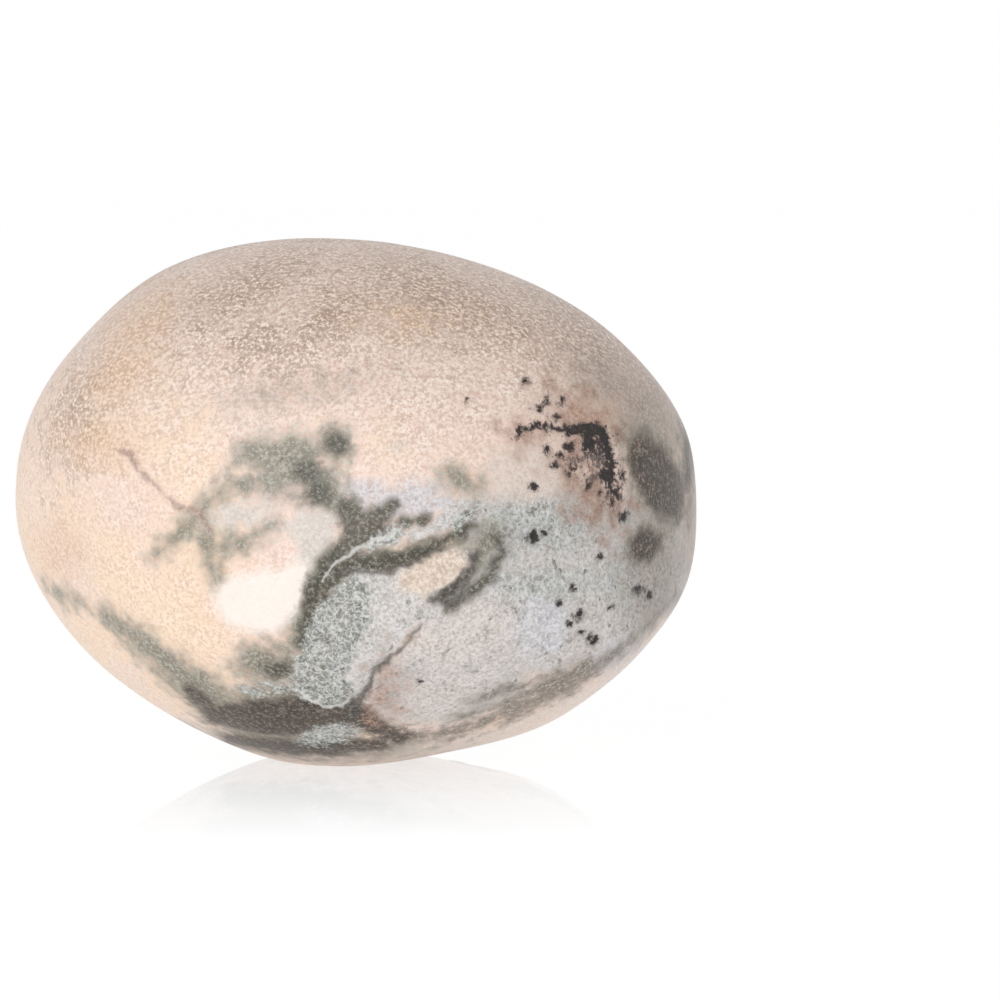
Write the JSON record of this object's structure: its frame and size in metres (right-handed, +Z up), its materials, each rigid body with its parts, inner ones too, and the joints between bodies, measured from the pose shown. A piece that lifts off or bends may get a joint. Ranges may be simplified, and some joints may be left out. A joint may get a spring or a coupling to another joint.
{
  "type": "tumbled stone",
  "caption": "Egg-like polished jasper pebble with broad soft wear faces, a speckled cream and grey face, and a small flat spot underneath that it rests on.",
  "frame": {"origin": "on the ground plane, under the middle of the stone's outline seen from above", "axes": "+X along the stone's length, towards its lower, blunter end; +Z up from the resting spot, along its least size; -Y is the front with the pale cream and grey field"},
  "size_m": [0.03, 0.0258, 0.0229],
  "materials": {
    "jasper": "tumble-polished to a soft satin; sandy pink above, cream and blue-grey below, with green-grey clouds and black grains"
  },
  "bodies": {
    "root": {"tumbled_jasper": "jasper"}
  },
  "joints": []
}
